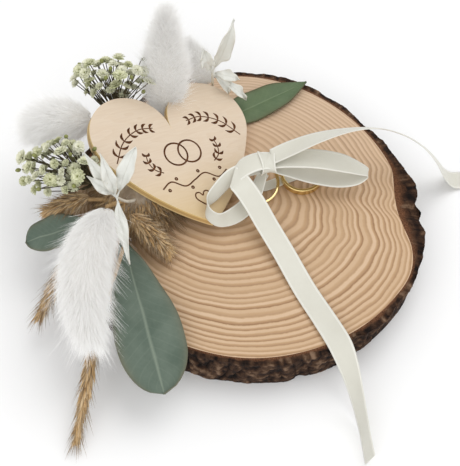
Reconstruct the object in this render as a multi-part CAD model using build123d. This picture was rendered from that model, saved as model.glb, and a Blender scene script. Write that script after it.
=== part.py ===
from build123d import *
import math
import os

# A ring holder for a wedding: a slice of a tree trunk with its bark on, a burned plywood heart that leans
# on a bunch of dried flowers, and two rings held down by a satin bow.
# Millimetres. The origin is the centre of the slice's underside, +Z is up, and the front is at -Y.

# ---- Driving dimensions
slice_radius = 77.0
slice_thickness = 20.0
bark_thickness = 4.0

heart_width = 80.0
heart_height = 69.0
heart_thickness = 4.0
heart_lobe_radius = 20.0
heart_side_radius = 107.0

ribbon_width = 10.0
ribbon_thickness = 0.4
gathered_width = 5.0
knot_height = 15.0
knot_length = 8.0
knot_depth = 5.0

slim_bore = 20.0
slim_wall = 1.2
slim_width = 2.0
wide_bore = 17.5
wide_wall = 1.5
wide_width = 4.0

leaf_thickness = 0.8
flower_stem_radius = 0.9
twig_radius = 0.5
floret_radius = 2.6

# ---- Clearances
rest_gap = 0.1
table_gap = 0.3
edge_gap = 3.5
rings_apart = 1.0

# How far the wood's outline swells out of its mean circle, and how far the bark stands out over its mean
# thickness, at sixteen even steps round the slice, from +X towards +Y.
wood_swell = [-4.0, -4.2, -3.4, -0.8, 1.9, 2.0, 1.0, 0.0, 0.0, -1.0, -2.5, -3.8, -2.2, -0.4, 2.0, 2.3]
bark_swell = [4.0, 0.5, -1.0, -1.0, -1.0, 0.0, 0.0, 0.0, 0.5, 0.0, 0.0, -1.0, -1.0, -0.5, 0.5, 1.0]

top = slice_thickness
on_top = Pos(0, 0, slice_thickness)
parts = {}


def wood_radius(step):
    return slice_radius + wood_swell[step % len(wood_swell)]


def bark_radius(step):
    return wood_radius(step) + bark_thickness + bark_swell[step % len(bark_swell)]


def polar(radius, degrees):
    return (radius * math.cos(math.radians(degrees)), radius * math.sin(math.radians(degrees)))


def outline_face(radius_at):
    steps = len(wood_swell)
    ring = [polar(radius_at(step), 360 * step / steps) for step in range(steps)]
    return make_face(Spline(*ring, periodic=True))


def bark_edge(degrees):
    """The slice's outer radius at any angle."""
    turn = (degrees % 360) * len(wood_swell) / 360
    before = int(turn)
    share = turn - before
    return bark_radius(before) * (1 - share) + bark_radius(before + 1) * share


def edge_reach(start, heading):
    """How far from a point on the slice, along a heading, the bark's edge is left behind."""
    reach = 0.0
    while True:
        step = polar(reach, heading)
        x, y = start[0] + step[0], start[1] + step[1]
        if math.hypot(x, y) > bark_edge(math.degrees(math.atan2(y, x))) + edge_gap:
            return reach
        reach += 0.5


def rod(start, end, radius):
    axis = Vector(*end) - Vector(*start)
    return extrude(Plane(origin=start, z_dir=axis) * Circle(radius), axis.length)


def stalk(route, radius):
    """A stalk through a route's points, with a ball at each bend."""
    runs = [rod(start, end, radius) for start, end in zip(route, route[1:])]
    return runs + [Pos(*point) * Sphere(radius) for point in route[1:-1]]


def along(start, end, share):
    return tuple(a + (b - a) * share for a, b in zip(start, end))


# ---- The slice: bare wood, and the bark round it
wood_face = outline_face(wood_radius)
parts["wood_slice"] = extrude(wood_face, slice_thickness)
parts["bark_rim"] = extrude(outline_face(bark_radius) - wood_face, slice_thickness)


# ---- The heart: two lobes, and two long side arcs that meet in the tip at the heart's own origin
def heart_face():
    lobe = Vector(heart_width / 2 - heart_lobe_radius, heart_height - heart_lobe_radius)
    reach = lobe.length
    inner = heart_side_radius - heart_lobe_radius
    # The side arc passes through the tip and is tangent to the lobe from outside it.
    foot = (inner**2 - heart_side_radius**2 + reach**2) / (2 * reach)
    rise = math.sqrt(inner**2 - foot**2)
    toward_tip = lobe * (-1 / reach)
    side = lobe + toward_tip * foot + Vector(toward_tip.Y, -toward_tip.X) * rise
    if side.X > 0:
        side = lobe + toward_tip * foot - Vector(toward_tip.Y, -toward_tip.X) * rise
    meet = math.degrees(math.atan2(lobe.Y - side.Y, lobe.X - side.X))
    tip = math.degrees(math.atan2(-side.Y, -side.X))
    notch = math.degrees(math.atan2(math.sqrt(max(heart_lobe_radius**2 - lobe.X**2, 0)), -lobe.X))
    half = Curve() + [
        CenterArc((side.X, side.Y), heart_side_radius, tip, meet - tip),
        CenterArc((lobe.X, lobe.Y), heart_lobe_radius, meet, notch - meet),
    ]
    return make_face(half + mirror(half, about=Plane.YZ))


heart_place = Pos(-12, -12, top + 7) * Rot(0, 0, 26) * Rot(15.6, 0, 0) * Rot(0, 19.2, 0)
heart = heart_face()
parts["heart_plaque"] = heart_place * extrude(heart, -heart_thickness)
# Everything above the heart's underside, which what supports the heart is cut back to.
over_heart = heart_place * Pos(0, 0, -heart_thickness) * extrude(heart, heart_thickness + 60)


# ---- Hot glue: the mound that the stems stand in, the dab under the heart, and the one under the ribbon
mound_centre = (-47.0, 12.0)
mound_size = (19.0, 24.0, 22.0)
mound = scale(Sphere(1), by=mound_size)
mound = mound & Pos(0, 0, mound_size[2]) * Box(2 * mound_size[0], 2 * mound_size[1], 2 * mound_size[2])
parts["glue_bed"] = on_top * Pos(*mound_centre, 0) * mound - over_heart
plaque_glue_radius = 6.0
parts["plaque_glue"] = Pos(-15, 2, top + 15) * Cylinder(plaque_glue_radius, 30) - over_heart
glue_spot = (4.0, 9.0)
glue_dab_height = 0.5
glue_dab_radius = 2.5
parts["ribbon_glue"] = Pos(*glue_spot, top + glue_dab_height / 2) * Cylinder(glue_dab_radius, glue_dab_height)

# Everything that grows out of the mound is placed by its height above the wood.


# ---- Bunny-tail grass: egg-shaped furry heads, each on a stem out of the glue
def bunny_head(base, tip, belly, sag):
    """Circles lofted along a curve from the stem's end to the head's tip, arched up by sag."""
    spine = Bezier(base, Vector(*along(base, tip, 0.5)) + Vector(0, 0, 2 * sag), tip)
    stations = [(0.0, 0.42), (0.22, 0.86), (0.5, 1.0), (0.78, 0.82), (1.0, 0.3)]
    rings = [Plane(origin=spine @ at, z_dir=spine % at) * Circle(belly * share) for at, share in stations]
    return loft(rings)


bunny_tails = {
    "top": ([(-41, 29, 4), (-31, 57, 8), (-31, 57, 22)], (-30, 61, 65), 12.5, 0),
    "back": ([(-38, 30, 8 - heart_thickness), (-18, 71, 16)], (-25, 79, 46), 7.5, 0),
    "left": ([(-56, 18, 6), (-70, 33, 22)], (-99, 28, 25), 10.5, 2),
    "front": ([(-50, 0, 8), (-58, -16, 25)], (-65, -77, 10), 12.5, 6),
}
for name, (route, tip, belly, sag) in bunny_tails.items():
    parts["bunny_head_" + name] = on_top * bunny_head(route[-1], tip, belly, sag)
    parts["bunny_stem_" + name] = on_top * (Part() + stalk(route, flower_stem_radius))


# ---- Gypsophila: a spray of thin stems, each with a ruffled floret at its end
def spray(root, fork, middle, spread, count):
    """One stalk that forks into twigs, whose florets are spaced over an egg by the golden angle."""
    twigs = stalk([root, fork], flower_stem_radius)
    florets = []
    for number in range(count):
        height = 1 - 2 * (number + 0.5) / count
        round_it = math.sqrt(1 - height**2)
        turn = number * math.pi * (3 - math.sqrt(5))
        offset = (round_it * math.cos(turn), round_it * math.sin(turn), height)
        end = tuple(middle[i] + spread[i] * offset[i] for i in range(3))
        twigs.append(rod(fork, end, twig_radius))
        florets.append(Pos(*end) * Sphere(floret_radius))
    return Part() + twigs, Part() + florets


sprays = {
    "upper": ((-54, 25, 8), (-60, 42, 18), (-61, 50, 37), (15, 6, 11), 14),
    "left": ((-57, 4, 9), (-67, 1, 17), (-83, 0, 31), (15, 13, 9), 18),
}
for name, (root, fork, middle, spread, count) in sprays.items():
    stems, florets = spray(root, fork, middle, spread, count)
    parts["gypsophila_" + name + "_stems"] = on_top * stems
    parts["gypsophila_" + name + "_florets"] = on_top * florets


# ---- Leaves: a thin blade between two arcs, level across its width unless it leans by roll
def leaf(base, tip, width, roll=0):
    length = (Vector(*tip) - Vector(*base)).length
    edge = ThreePointArc((0, 0), (length / 2, width / 2), (length, 0))
    blade = make_face(Curve() + [edge, mirror(edge, about=Plane.XZ)])
    run = (Vector(*tip) - Vector(*base)).normalized()
    upward = Vector(0, 0, 1) - run * run.Z
    lie = Plane(origin=base, x_dir=run, z_dir=upward) * Rot(roll, 0, 0)
    return lie * extrude(blade, leaf_thickness)


out_with_rim = polar(slice_radius - 77, -161)
left_base = (-66 + out_with_rim[0], -14 + out_with_rim[1], 8)
left_tip = (-94 + out_with_rim[0], -25 + out_with_rim[1], 7)
parts["eucalyptus_leaf_back"] = on_top * leaf((-13, 48, 1.5 - 1.1 * (heart_thickness - 4)), (29, 69, 5), 17)
parts["eucalyptus_leaf_left"] = on_top * leaf(left_base, left_tip, 14)
parts["eucalyptus_leaf_front"] = on_top * leaf((-43, -22, 3.5), (-34, -91, 2), 30)


# ---- Bleached ruscus: a stalk that forks into pointed leaves
def ruscus(route, tips, width):
    fork = route[-1]
    twigs = stalk(route, flower_stem_radius)
    leaves = []
    for tip, roll in tips:
        start = along(fork, tip, 0.22)
        twigs.append(rod(fork, start, twig_radius))
        leaves.append(leaf(start, tip, width, roll))
    return Part() + twigs, Part() + leaves


ruscus_leaf_width = 8.0
ruscus_sprigs = {
    "back": (
        [(-36, 20, 3), (-10, 63, 4), (-10, 64, 30)],
        [((-16, 66, 44), 60), ((1, 66, 53), 80), ((8, 61, 32), 20), ((5, 58, 16), 20)],
    ),
    "front": (
        [(-46, -4, 12), (-47, -15, 28)],
        [((-62, -8, 40), 30), ((-53, -9, 46), 60), ((-40, -10, 46), 60), ((-36, -34, 20), 20)],
    ),
}
for name, (route, tips) in ruscus_sprigs.items():
    stem, leaves = ruscus(route, tips, ruscus_leaf_width)
    parts["ruscus_" + name + "_stem"] = on_top * stem
    parts["ruscus_" + name + "_leaves"] = on_top * leaves


# ---- Reed grass: four feathery plumes on stalks out of the glue. Two of them droop over the bark's edge.
def beside_bark(degrees, outside, height):
    return (*polar(bark_edge(degrees) + outside, degrees), height)


plume_radius = 3.6
reeds = {
    "left": ((-70, -4, 13), (-23, -6, 0)),
    "centre": ((-47, -14, 11), (22, -9, -3)),
    "lower": (beside_bark(-161, -4, 10), (-20, -28, -14)),
    "front": (beside_bark(-136, 3, 7), (-11, -50, -21)),
}
reed_root = (mound_centre[0], mound_centre[1] - 10, 4)
stalks = []
for name, (base, run) in reeds.items():
    spine = Line(base, Vector(*base) + Vector(*run))
    stations = [(0.0, 0.35), (0.3, 1.0), (0.6, 0.9), (1.0, 0.15)]
    rings = [Plane(origin=spine @ at, z_dir=run) * Circle(plume_radius * share) for at, share in stations]
    parts["reed_plume_" + name] = on_top * loft(rings)
    stalks.append(rod(reed_root, base, flower_stem_radius))
parts["reed_stems"] = on_top * (Part() + stalks)


# ---- The rings: a band with rounded edges, which leans on what lies under its far side
def ring(bore, wall, width, pivot, heading, lean):
    """The band's near edge stays at the pivot, and its far side, towards heading, is raised by lean."""
    outer = bore / 2 + wall
    band = Pos(0, outer, width / 2) * (Cylinder(outer, width) - Cylinder(bore / 2, width))
    band = fillet(band.edges().filter_by(GeomType.CIRCLE), wall * 0.3)
    return Pos(*pivot, top + rest_gap) * Rot(0, 0, heading - 90) * Rot(lean, 0, 0) * band


slim_outer = slim_bore / 2 + slim_wall
slim_heading = 125.0
slim_lean = 24.0
# A larger ring grows away from the heart, so its far side stays where it is.
slim_growth = polar(2 * (slim_outer - 11.2) * math.cos(math.radians(slim_lean)), slim_heading)
slim_pivot = (11.3 - slim_growth[0], 3.1 - slim_growth[1])
slim_run = polar(slim_outer * math.cos(math.radians(slim_lean)), slim_heading)
slim_centre = (slim_pivot[0] + slim_run[0], slim_pivot[1] + slim_run[1])
parts["ring_slim"] = ring(slim_bore, slim_wall, slim_width, slim_pivot, slim_heading, slim_lean)

wide_outer = wide_bore / 2 + wide_wall
wide_heading = 90.0
wide_lean = 9.0
to_wide = polar(slim_outer + wide_outer + rings_apart, 15)
wide_centre = (slim_centre[0] + to_wide[0], slim_centre[1] + to_wide[1])
wide_pivot = (wide_centre[0], wide_centre[1] - wide_outer * math.cos(math.radians(wide_lean)))
parts["ring_wide"] = ring(wide_bore, wide_wall, wide_width, wide_pivot, wide_heading, wide_lean)

for name, pivot, heading in (("slim", slim_pivot, slim_heading), ("wide", wide_pivot, wide_heading)):
    print("ring", name, "tips about", (*pivot, top + rest_gap), "along", polar(1, heading - 90))
print("ring centres", slim_centre, wide_centre)


# ---- The ribbon: flat bands, each bent in an upright plane that leaves the knot at its own heading
def ribbon(start, heading, route, width, bend):
    """A band along a route of (distance, height) points, its corners rounded to the bend radius."""
    upright = Plane(
        origin=(*start, 0),
        x_dir=(*polar(1, heading), 0),
        z_dir=(*polar(1, heading - 90), 0),
    )
    path = FilletPolyline(*route, radius=bend)
    profile = offset(path, amount=ribbon_thickness / 2, side=Side.BOTH, kind=Kind.TANGENT)
    return extrude(upright * make_face(profile), width / 2, both=True)


knot = (11.0, 14.5)
knot_z = top + knot_height
knot_turn = 8.0
knot_size = (knot_length, ribbon_width + 2, knot_depth)
parts["ribbon_knot"] = Pos(*knot, knot_z) * Rot(0, 0, knot_turn) * fillet(Box(*knot_size).edges(), 2)

half_knot = knot_length / 2
on_wood = top + rest_gap + ribbon_thickness / 2
on_dab = on_wood + glue_dab_height
on_table = table_gap + ribbon_thickness / 2

# The right loop leaves the knot's side, lies over the wide ring, and comes back under itself.
parts["ribbon_loop_right"] = ribbon(
    knot,
    knot_turn,
    [
        (half_knot + 0.2, knot_z + 1.2),
        (24, knot_z + 1),
        (42, knot_z - 3),
        (48, knot_z - 8),
        (43, knot_z - 12),
        (34, knot_z - 6.5),
        (16, knot_z - 4.5),
        (half_knot + 0.2, knot_z - 1),
    ],
    ribbon_width,
    2,
)

# The strip left of the knot ends in a fold, where the front tail turns down towards the edge.
fold = (-4.0, 9.0)
fold_heading = math.degrees(math.atan2(fold[1] - knot[1], fold[0] - knot[0]))
fold_distance = math.dist(fold, knot)
parts["ribbon_fold"] = ribbon(
    knot,
    fold_heading,
    [(half_knot + 1 + (ribbon_width - 10) / 8, knot_z), (fold_distance * 0.6, knot_z + 1), (fold_distance + 3, knot_z + 0.4)],
    ribbon_width,
    8,
)

front_heading = -64.0
front_edge = edge_reach(fold, front_heading)
parts["ribbon_tail_front"] = ribbon(
    fold,
    front_heading,
    [
        (-2, knot_z - 0.8),
        (14, knot_z - 5),
        (40, on_wood + 2),
        (front_edge - 14, on_wood),
        (front_edge, on_wood),
        (front_edge + 12, on_table + 9),
        (front_edge + 20, on_table),
        (front_edge + 40, on_table),
    ],
    ribbon_width,
    5,
)

# The side tail springs up from the knot in an arch that clears the bark.
side_heading = 9.0
side_edge = edge_reach(knot, side_heading)
parts["ribbon_tail_side"] = ribbon(
    knot,
    side_heading,
    [
        (half_knot + 0.2, knot_z + 3),
        (20, knot_z + 9),
        (42, knot_z + 13),
        (side_edge - 12, knot_z + 8),
        (side_edge + 4, top + 4),
        (side_edge + 17, on_table),
        (side_edge + 29, on_table),
    ],
    ribbon_width,
    6,
)

# The left loop lies over the slim ring's near side, curls beside the heart's tip, and comes back through
# the ring to the dab of glue.
loop_heading = -115.0
parts["ribbon_loop_left"] = ribbon(
    glue_spot,
    loop_heading,
    [(-1, top + 8.5), (12, top + 8), (24, top + 7), (25, top + 3), (20, on_wood), (1, on_dab)],
    gathered_width,
    1.5,
)

# The strand goes down through the slim ring to the glue, under both bands, and up through the wide ring,
# towards the far half of its hole.
strand_end = (wide_centre[0], wide_centre[1] + 2)
strand_heading = math.degrees(math.atan2(strand_end[1] - glue_spot[1], strand_end[0] - glue_spot[0]))
strand_length = math.dist(strand_end, glue_spot)
parts["ribbon_strand"] = ribbon(
    glue_spot,
    strand_heading,
    [
        (7, knot_z - knot_depth / 2 - 0.5),
        (4.5, on_wood + 3),
        (7, on_wood),
        (strand_length - 4, on_wood),
        (strand_length + 2, top + 6.5),
    ],
    gathered_width,
    1.5,
)

# ---- Write every piece to its own file
os.makedirs("parts", exist_ok=True)
for name, shape in parts.items():
    shape.label = name
    export_step(shape, "parts/" + name + ".step")
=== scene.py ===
import math
import random

import bmesh
import bpy
from mathutils import Matrix, Vector, noise


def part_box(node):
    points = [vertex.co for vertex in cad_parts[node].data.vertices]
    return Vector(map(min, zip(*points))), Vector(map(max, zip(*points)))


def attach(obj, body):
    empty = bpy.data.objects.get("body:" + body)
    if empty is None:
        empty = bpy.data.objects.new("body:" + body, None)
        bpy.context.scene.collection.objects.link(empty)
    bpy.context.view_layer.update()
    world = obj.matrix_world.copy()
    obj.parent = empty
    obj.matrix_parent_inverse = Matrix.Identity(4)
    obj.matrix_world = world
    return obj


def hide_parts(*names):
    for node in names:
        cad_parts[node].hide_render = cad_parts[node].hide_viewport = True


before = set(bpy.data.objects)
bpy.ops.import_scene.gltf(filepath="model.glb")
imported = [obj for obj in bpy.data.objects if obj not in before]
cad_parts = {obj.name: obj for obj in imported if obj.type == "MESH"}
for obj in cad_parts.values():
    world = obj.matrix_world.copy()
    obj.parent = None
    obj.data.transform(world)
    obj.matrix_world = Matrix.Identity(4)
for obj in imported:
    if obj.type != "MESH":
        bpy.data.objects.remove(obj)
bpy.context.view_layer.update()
bpy.ops.object.select_all(action="DESELECT")
MM = 0.001

# ---- The table and the studio. A pale table top under big soft lights, seen by a long lens from above
# the holder's front edge.


def stand(kind, name, size, place, aim, power):
    """A soft square light at a place, turned to shine at a point."""
    bpy.ops.object.light_add(type=kind, location=place)
    lamp = bpy.context.object
    lamp.name = name
    lamp.data.size = size
    lamp.data.energy = power
    lamp.rotation_euler = (Vector(aim) - Vector(place)).to_track_quat("-Z", "Y").to_euler()
    return lamp


bpy.ops.mesh.primitive_plane_add(size=6, location=(0, 0, 0))
table = bpy.context.object
table.name = "table_top"
table_paint = bpy.data.materials.new("pale_table")
table_paint.use_nodes = True
table_shader = table_paint.node_tree.nodes["Principled BSDF"]
table_shader.inputs["Base Color"].default_value = (0.93, 0.93, 0.93, 1)
table_shader.inputs["Roughness"].default_value = 0.7
table.data.materials.append(table_paint)

world = bpy.data.worlds.new("studio")
bpy.context.scene.world = world
world.use_nodes = True
world.node_tree.nodes["Background"].inputs["Color"].default_value = (1, 1, 1, 1)
world.node_tree.nodes["Background"].inputs["Strength"].default_value = 0.78
stand("AREA", "window_light", 0.8, (0.35, 0.30, 1.0), (0, 0, 0.02), 4)
stand("AREA", "fill_light", 1.2, (-0.30, -1.0, 0.60), (0, 0, 0.04), 4.5)

elevation = math.radians(56)
distance = 0.48
bpy.ops.object.camera_add(
    location=(0, -distance * math.cos(elevation), 0.02 + distance * math.sin(elevation)),
    rotation=(math.pi / 2 - elevation, 0, 0),
)
camera = bpy.context.object
camera.data.lens = 81.6
camera.data.shift_x = -0.028
camera.data.shift_y = -0.053
camera.data.clip_start = 0.02
bpy.context.scene.camera = camera
bpy.context.scene.view_settings.view_transform = "Standard"

# ---- The wood slice. One crosscut disc of softwood, sawn and sanded, with its growth rings round a pith
# that lies off centre. Each loop of the mesh is one year's ring, and carries its age to the finish.


def node(tree, kind, **inputs):
    """Adds a shader node. A keyword is an input's name, and its value is a number or another socket."""
    made = tree.nodes.new("ShaderNode" + kind)
    for label, value in inputs.items():
        numbered = label[0] == "i" and label[1:].isdigit()
        socket = made.inputs[int(label[1:]) if numbered else label.replace("_", " ")]
        if isinstance(value, bpy.types.NodeSocket):
            tree.links.new(value, socket)
        else:
            socket.default_value = value
    return made


def math_node(tree, operation, first, second=0.0):
    made = node(tree, "Math", i0=first, i1=second)
    made.operation = operation
    return made.outputs[0]


def blend_colours(tree, share, first, second, way="MIX"):
    made = tree.nodes.new("ShaderNodeMix")
    made.data_type = "RGBA"
    made.blend_type = way
    for socket, value in ((0, share), (6, first), (7, second)):
        if isinstance(value, bpy.types.NodeSocket):
            tree.links.new(value, made.inputs[socket])
        else:
            made.inputs[socket].default_value = value if socket == 0 else (*value, 1)
    return made.outputs[2]


def ramp(tree, value, stops):
    """A colour ramp through (position, colour) stops."""
    made = node(tree, "ValToRGB", Fac=value)
    elements = made.color_ramp.elements
    while len(elements) < len(stops):
        elements.new(0.5)
    for element, (place, colour) in zip(elements, stops):
        element.position = place
        element.color = (*colour, 1)
    return made.outputs[0]


def finish_material(name, roughness, **constants):
    """A material, its node tree and its Principled shader."""
    material = bpy.data.materials.new(name)
    material.use_nodes = True
    tree = material.node_tree
    shader = tree.nodes["Principled BSDF"]
    shader.inputs["Roughness"].default_value = roughness
    for label, value in constants.items():
        shader.inputs[label.replace("_", " ")].default_value = value
    return material, tree, shader


def raise_surface(tree, shader, height, strength, distance):
    bump = node(tree, "Bump", Height=height, Strength=strength, Distance=distance)
    tree.links.new(bump.outputs[0], shader.inputs["Normal"])


# Shared effect: speckle, two sizes of noise over the object, for anything that grew.
speckle = bpy.data.node_groups.new("speckle", "ShaderNodeTree")
for label, kind, value in (("Scale", "NodeSocketFloat", 200.0), ("Contrast", "NodeSocketFloat", 1.0)):
    speckle.interface.new_socket(name=label, in_out="INPUT", socket_type=kind).default_value = value
stretch_socket = speckle.interface.new_socket(name="Stretch", in_out="INPUT", socket_type="NodeSocketVector")
stretch_socket.default_value = (1, 1, 1)
for label in ("Coarse", "Fine"):
    speckle.interface.new_socket(name=label, in_out="OUTPUT", socket_type="NodeSocketFloat")
speckle_in = speckle.nodes.new("NodeGroupInput")
speckle_out = speckle.nodes.new("NodeGroupOutput")
place = node(speckle, "TexCoord").outputs["Object"]
stretched = node(speckle, "VectorMath", i0=place, i1=speckle_in.outputs["Stretch"])
stretched.operation = "MULTIPLY"
for label, factor in (("Coarse", 1.0), ("Fine", 6.0)):
    scale = math_node(speckle, "MULTIPLY", speckle_in.outputs["Scale"], factor)
    cloud = node(speckle, "TexNoise", Vector=stretched.outputs[0], Scale=scale, Detail=5.0, Roughness=0.6)
    centred = math_node(speckle, "SUBTRACT", cloud.outputs[0], 0.5)
    spread = math_node(speckle, "MULTIPLY", centred, speckle_in.outputs["Contrast"])
    speckle.links.new(math_node(speckle, "ADD", spread, 0.5), speckle_out.inputs[label])


def add_speckle(tree, scale, contrast=1.0, stretch=(1, 1, 1)):
    made = tree.nodes.new("ShaderNodeGroup")
    made.node_tree = speckle
    made.inputs["Scale"].default_value = scale
    made.inputs["Contrast"].default_value = contrast
    made.inputs["Stretch"].default_value = stretch
    return made.outputs["Coarse"], made.outputs["Fine"]


def cad_copy(node_name, name):
    """A separate copy of a CAD node's mesh, with its doubled corners merged."""
    piece = bpy.data.objects.new(name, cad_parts[node_name].data.copy())
    bpy.context.scene.collection.objects.link(piece)
    piece.data.materials.clear()
    work = bmesh.new()
    work.from_mesh(piece.data)
    bmesh.ops.remove_doubles(work, verts=work.verts, dist=1e-6)
    work.to_mesh(piece.data)
    work.free()
    return piece


def only_select(piece):
    bpy.ops.object.select_all(action="DESELECT")
    piece.select_set(True)
    bpy.context.view_layer.objects.active = piece


def face_outward(piece):
    work = bmesh.new()
    work.from_mesh(piece.data)
    bmesh.ops.recalc_face_normals(work, faces=work.faces)
    work.to_mesh(piece.data)
    work.free()


def rim_reach(node_name, centre):
    """How far a CAD disc's rim lies from a centre, at any angle."""
    corners = [v.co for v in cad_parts[node_name].data.vertices]
    table = sorted(
        (math.atan2(c.y - centre.y, c.x - centre.x), math.hypot(c.x - centre.x, c.y - centre.y))
        for c in corners
        if c.z > slice_top - 1e-5
    )
    table = [(a, r) for a, r in table if r > max(s for b, s in table if abs(a - b) < 0.06) - 2 * MM]
    table = [(table[-1][0] - 2 * math.pi, table[-1][1])] + table + [(table[0][0] + 2 * math.pi, table[0][1])]

    def reach(angle):
        angle = (angle + math.pi) % (2 * math.pi) - math.pi
        low, high = 0, len(table) - 1
        while high - low > 1:
            middle = (low + high) // 2
            if table[middle][0] <= angle:
                low = middle
            else:
                high = middle
        (a, r), (b, s) = table[low], table[high]
        return r + (s - r) * (angle - a) / max(b - a, 1e-9)

    return reach


def gouge(angle, middle, half_width):
    """1 at a place on the rim, easing to 0 at half_width degrees on either side."""
    off = abs((math.degrees(angle) - middle + 180) % 360 - 180)
    return max(0.0, 1 - (off / half_width) ** 2) ** 1.5


slice_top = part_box("wood_slice")[1].z
pith = Vector((-16 * MM, 20 * MM, slice_top))
even_reach = rim_reach("wood_slice", pith)


def wood_reach(angle):
    """The wood's rim, with the fold where bark has grown into its side."""
    return even_reach(angle) - 3.4 * MM * gouge(angle, -11, 13) + 1.0 * MM * gouge(angle, -29, 10)


rim_steps = 288
years = 27
growth = random.Random(5)
year_widths = [growth.uniform(0.7, 1.3) * (1.2 - 0.5 * year / years) for year in range(years)]

bpy.ops.mesh.primitive_circle_add(vertices=rim_steps, radius=1, location=(0, 0, 0))
wood = bpy.context.object
wood.name = "wood_disc"
for vertex in wood.data.vertices:
    angle = math.atan2(vertex.co.y, vertex.co.x)
    reach = wood_reach(angle)
    vertex.co = (pith.x + reach * math.cos(angle), pith.y + reach * math.sin(angle), slice_top)
bpy.ops.object.mode_set(mode="EDIT")
bpy.ops.mesh.select_all(action="SELECT")
share = 1.0
for width in reversed(year_widths[1:]):
    smaller = share - width / sum(year_widths)
    bpy.ops.mesh.extrude_region_move()
    bpy.ops.transform.resize(value=(smaller / share,) * 3, center_override=pith)
    share = smaller
bpy.ops.mesh.merge(type="CENTER")
bpy.ops.object.mode_set(mode="OBJECT")

# The saw cut both faces, so the underside is a copy of the top, joined to it by the wall under the bark.
work = bmesh.new()
work.from_mesh(wood.data)
under = bmesh.ops.duplicate(work, geom=work.verts[:] + work.edges[:] + work.faces[:])
bmesh.ops.translate(work, verts=[g for g in under["geom"] if isinstance(g, bmesh.types.BMVert)],
                    vec=(0, 0, -slice_top))
rims = [edge for edge in work.edges if edge.is_boundary]
bmesh.ops.bridge_loops(work, edges=rims)
bmesh.ops.recalc_face_normals(work, faces=work.faces)
work.to_mesh(wood.data)
work.free()

# Age counts the years outward from the pith, and ripples where the trunk grew round a fold in its side.
year_ends = [sum(year_widths[: year + 1]) / sum(year_widths) for year in range(years)]
age = wood.data.attributes.new("age", "FLOAT", "POINT")
for vertex, mark in zip(wood.data.vertices, age.data):
    flat = Vector((vertex.co.x - pith.x, vertex.co.y - pith.y))
    angle = math.atan2(flat.y, flat.x)
    fold_share = math.exp(-(((vertex.co.y - 2 * MM) / (24 * MM)) ** 2))
    fold_share *= min(max((vertex.co.x - 15 * MM) / (25 * MM), 0), 1)
    ripple = 1.2 * MM * math.sin(2 * math.pi * vertex.co.y / (15 * MM) + vertex.co.x / (9 * MM)) * fold_share
    ripple += 0.9 * MM * noise.noise(vertex.co * 60)
    share = min(max((flat.length + ripple) / wood_reach(angle), 0), 1) if flat.length > 1e-6 else 0
    year = next((y for y, end in enumerate(year_ends) if share <= end), years - 1)
    start = year_ends[year - 1] if year else 0
    mark.value = year + (share - start) / (year_ends[year] - start)

bare_wood, tree, shader = finish_material("sanded_softwood", 0.55, Specular_IOR_Level=0.35)
years_out = node(tree, "Attribute")
years_out.attribute_name = "age"
coarse, fine = add_speckle(tree, 90, 1.4)
wobbly = math_node(tree, "ADD", years_out.outputs["Fac"], math_node(tree, "MULTIPLY", coarse, 0.28))
wobbly = math_node(tree, "ADD", wobbly, math_node(tree, "MULTIPLY", fine, 0.10))
within = math_node(tree, "FRACT", wobbly)
early = (0.66, 0.475, 0.315)
late = (0.20, 0.092, 0.034)
bands = ramp(tree, within, [(0.0, (0.48, 0.31, 0.175)), (0.10, early), (0.42, early),
                            (0.60, (0.44, 0.265, 0.13)), (0.80, (0.32, 0.175, 0.08)), (0.90, late),
                            (1.0, (0.40, 0.24, 0.115))])
each_year = tree.nodes.new("ShaderNodeTexWhiteNoise")
each_year.noise_dimensions = "1D"
tree.links.new(math_node(tree, "FLOOR", wobbly), each_year.inputs["W"])
faint = math_node(tree, "MULTIPLY", each_year.outputs["Value"], 0.68)
bands = blend_colours(tree, faint, bands, (0.53, 0.355, 0.205))
patches, _ = add_speckle(tree, 22, 1.6)
bands = blend_colours(tree, math_node(tree, "MULTIPLY", patches, 0.30), bands, (0.46, 0.27, 0.13))
bands = blend_colours(tree, math_node(tree, "MULTIPLY", fine, 0.14), bands, (0.72, 0.57, 0.41))
# The sapwood is paler and pinker on the side away from the folds.
here = node(tree, "SeparateXYZ", Vector=node(tree, "TexCoord").outputs["Object"])
pale_side = node(tree, "MapRange", Value=here.outputs["Y"])
pale_side.inputs["From Min"].default_value = -0.005
pale_side.inputs["From Max"].default_value = 0.065
pale_side.inputs["To Max"].default_value = 0.5
bands = blend_colours(tree, pale_side.outputs[0], bands, (0.62, 0.47, 0.345))
tree.links.new(bands, shader.inputs["Base Color"])
raise_surface(tree, shader, math_node(tree, "ADD", within, fine), 0.25, 0.0002)
wood.data.materials.append(bare_wood)
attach(wood, "holder")
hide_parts("wood_slice")

# ---- The bark. It was never cut off, so it rings the disc from face to face: scaly ridges outside, a
# torn edge at both saw cuts, and a thin reddish layer of inner bark against the wood.
bark_centre = Vector((0, 0, slice_top))
bark_reach = rim_reach("bark_rim", bark_centre)

# The bark lies on the wood's own rim, measured again from the middle of the slice.
rim_corners = wood.data.vertices[:rim_steps]
rim_marks = sorted((math.atan2(v.co.y, v.co.x), math.hypot(v.co.x, v.co.y)) for v in rim_corners)
rim_marks = [(rim_marks[-1][0] - 2 * math.pi, rim_marks[-1][1])] + rim_marks
rim_marks += [(rim_marks[1][0] + 2 * math.pi, rim_marks[1][1])]


def inner_reach(angle):
    after = next(n for n, mark in enumerate(rim_marks) if mark[0] > angle or n == len(rim_marks) - 1)
    (a, r), (b, s) = rim_marks[max(after - 1, 0)], rim_marks[after]
    return r + (s - r) * (angle - a) / max(b - a, 1e-9)


around = 960
rows = 24
lips = 6

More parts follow.
